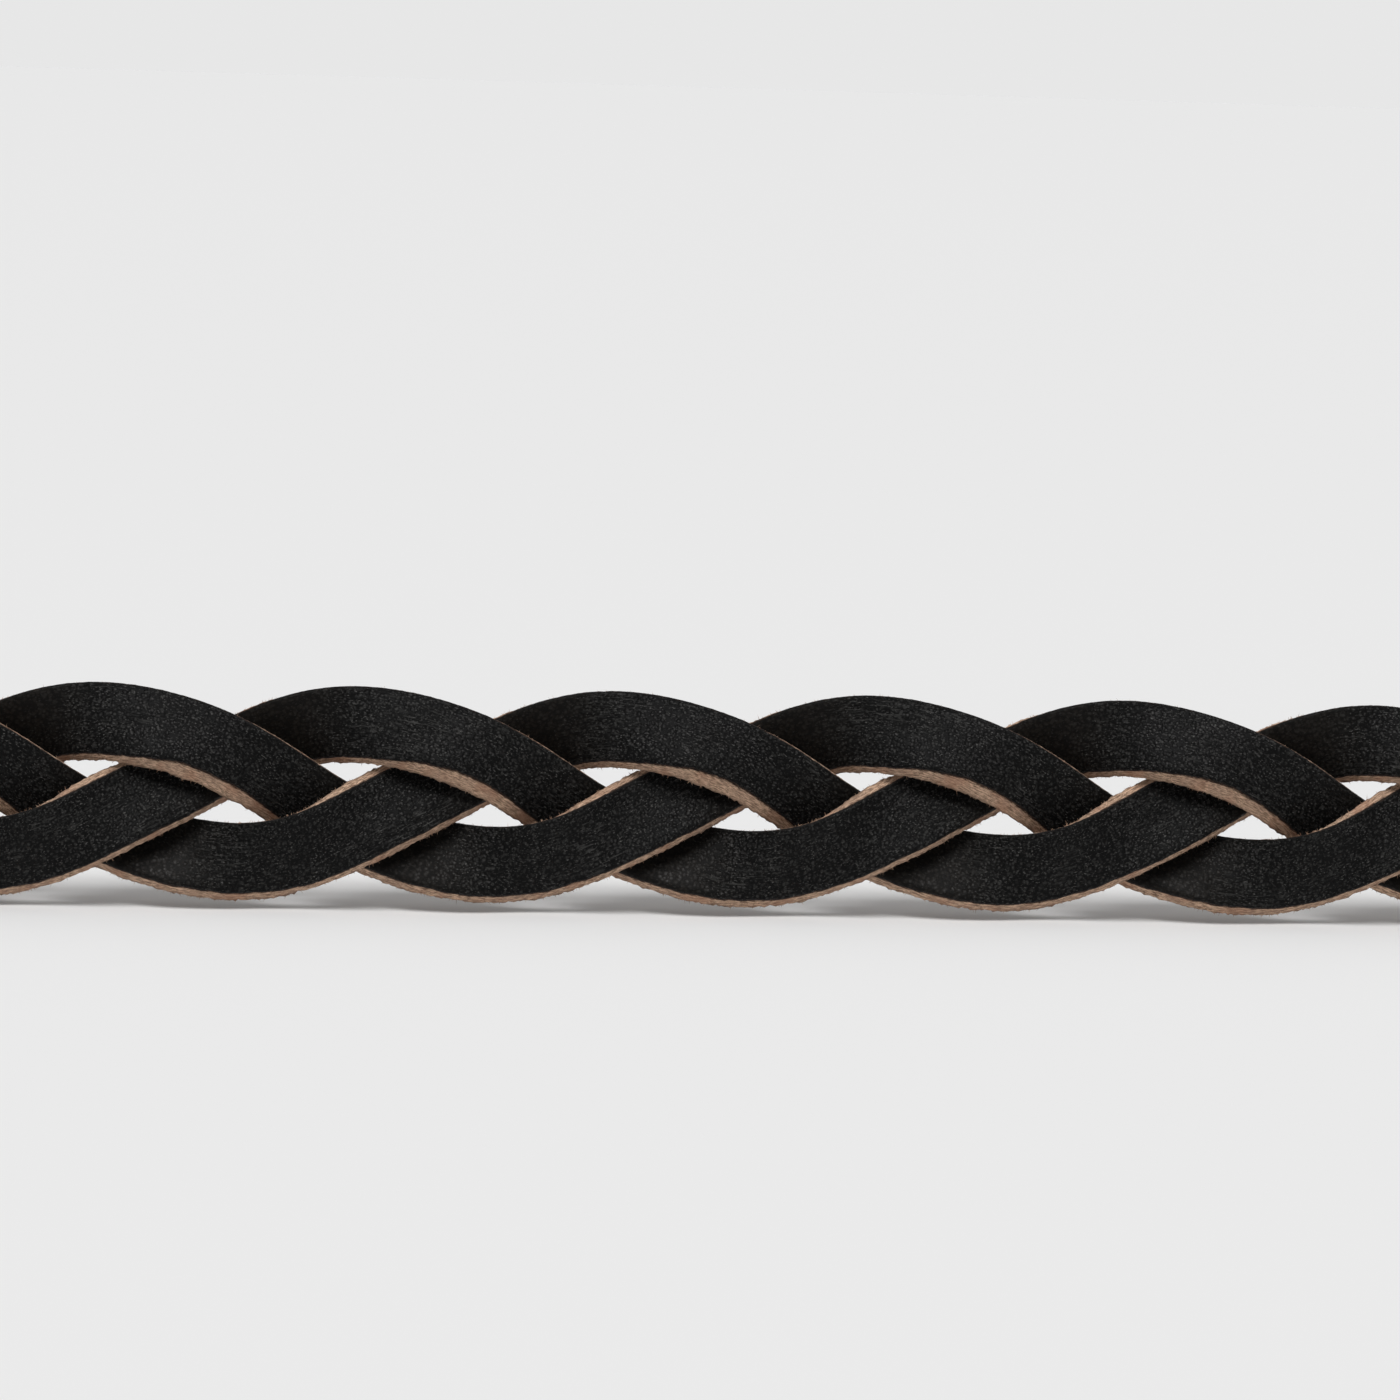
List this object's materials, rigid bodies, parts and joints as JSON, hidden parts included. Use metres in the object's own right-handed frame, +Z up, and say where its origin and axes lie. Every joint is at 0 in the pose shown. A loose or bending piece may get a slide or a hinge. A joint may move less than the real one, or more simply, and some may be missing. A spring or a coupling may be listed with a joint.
{
  "type": "braided leather headband",
  "caption": "Open headband of flat leather strands in a plait, with leather end tabs, an elastic section and a snap fastener.",
  "frame": {"origin": "on the surface it stands on, under the middle of the open band's box", "axes": "+X along the plait's straight front towards the stud tab, +Y from the front towards the open side, +Z up"},
  "size_m": [0.3362, 0.1972, 0.024],
  "materials": {
    "strand_leather": "satin black grain with raw tan cut edges",
    "tab_leather": "satin black grain",
    "lining_leather": "soft tan split leather",
    "core_leather": "raw tan leather",
    "thread": "waxed black polyester thread",
    "elastic": "black woven elastic",
    "snap_metal": "dark nickel plate, satin"
  },
  "bodies": {
    "plait": {"strand_a": "strand_leather", "strand_b": "strand_leather", "strand_c": "strand_leather"},
    "left_wing": {"left_tab_outer": "tab_leather", "left_tab_lining": "lining_leather", "left_tab_core": "core_leather", "left_tab_stitching": "thread", "elastic_strap": "elastic"},
    "snap_end": {"snap_tab_outer": "tab_leather", "snap_tab_lining": "lining_leather", "snap_tab_core": "core_leather", "snap_tab_stitching": "thread", "snap_cap": "snap_metal", "snap_socket": "snap_metal"},
    "right_wing": {"right_tab_outer": "tab_leather", "right_tab_lining": "lining_leather", "right_tab_core": "core_leather", "right_tab_stitching": "thread", "snap_stud": "snap_metal", "snap_post": "snap_metal"}
  },
  "joints": [
    {"name": "left_flex", "type": "hinge", "parent": "plait", "child": "left_wing", "pos_m": [-0.0903, -0.09422, 0.012], "axis": [0, 0, -1], "range_deg": [-12, 30], "stiffness_Nm_per_rad": 0.05, "deforming": ["strand_a", "strand_b", "strand_c"]},
    {"name": "right_flex", "type": "hinge", "parent": "plait", "child": "right_wing", "pos_m": [0.0897, -0.09422, 0.012], "axis": [0, 0, 1], "range_deg": [-12, 30], "stiffness_Nm_per_rad": 0.05, "deforming": ["strand_a", "strand_b", "strand_c"]},
    {"name": "elastic_stretch", "type": "slide", "parent": "left_wing", "child": "snap_end", "axis": [0, 1, 0], "range_m": [0, 0.015], "stiffness_N_per_m": 120, "deforming": ["elastic_strap"]}
  ]
}
